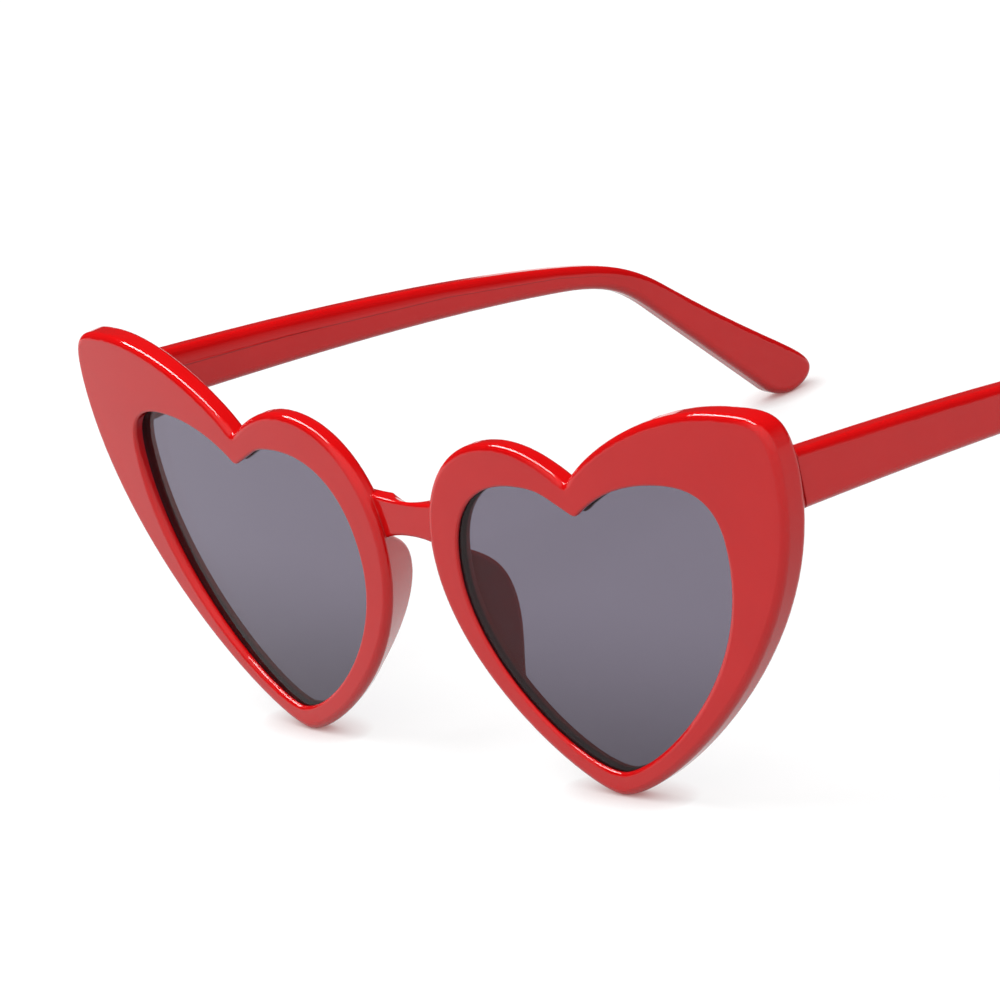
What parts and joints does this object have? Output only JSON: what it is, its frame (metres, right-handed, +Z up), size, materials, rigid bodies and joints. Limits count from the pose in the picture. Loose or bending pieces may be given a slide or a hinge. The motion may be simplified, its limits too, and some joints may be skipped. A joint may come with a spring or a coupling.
{
  "type": "heart shaped sunglasses",
  "caption": "Heart-shaped cat-eye sunglasses: a glossy moulded front with nose pads, tinted lenses held in grooves, and temples that fold on screwed hinges.",
  "frame": {"origin": "on the surface that the open sunglasses stand on, under the middle of their bounding box", "axes": "+Z up, +Y back along the open temples so that the front faces -Y, and +X across the front to the wearer's left"},
  "size_m": [0.1488, 0.139, 0.0569],
  "materials": {
    "frame_plastic": "polished, moulded",
    "lens_sheet": "dark grey tint, polished",
    "hinge_metal": "plain"
  },
  "bodies": {
    "front": {"front_frame": "frame_plastic", "lens_right": "lens_sheet", "lens_left": "lens_sheet", "hinge_front_right": "hinge_metal", "hinge_front_left": "hinge_metal", "hinge_screw_right": "hinge_metal", "hinge_screw_left": "hinge_metal"},
    "temple_right": {"temple_right": "frame_plastic", "hinge_temple_right": "hinge_metal"},
    "temple_left": {"temple_left": "frame_plastic", "hinge_temple_left": "hinge_metal"}
  },
  "joints": [
    {"name": "temple_right_fold", "type": "hinge", "parent": "front", "child": "temple_right", "pos_m": [0.0674, -0.05869, 0.0465], "axis": [0, 0, 1], "range_deg": [0, 86]},
    {"name": "temple_left_fold", "type": "hinge", "parent": "front", "child": "temple_left", "pos_m": [-0.0674, -0.05869, 0.0465], "axis": [0, 0, -1], "range_deg": [0, 90.2]}
  ]
}
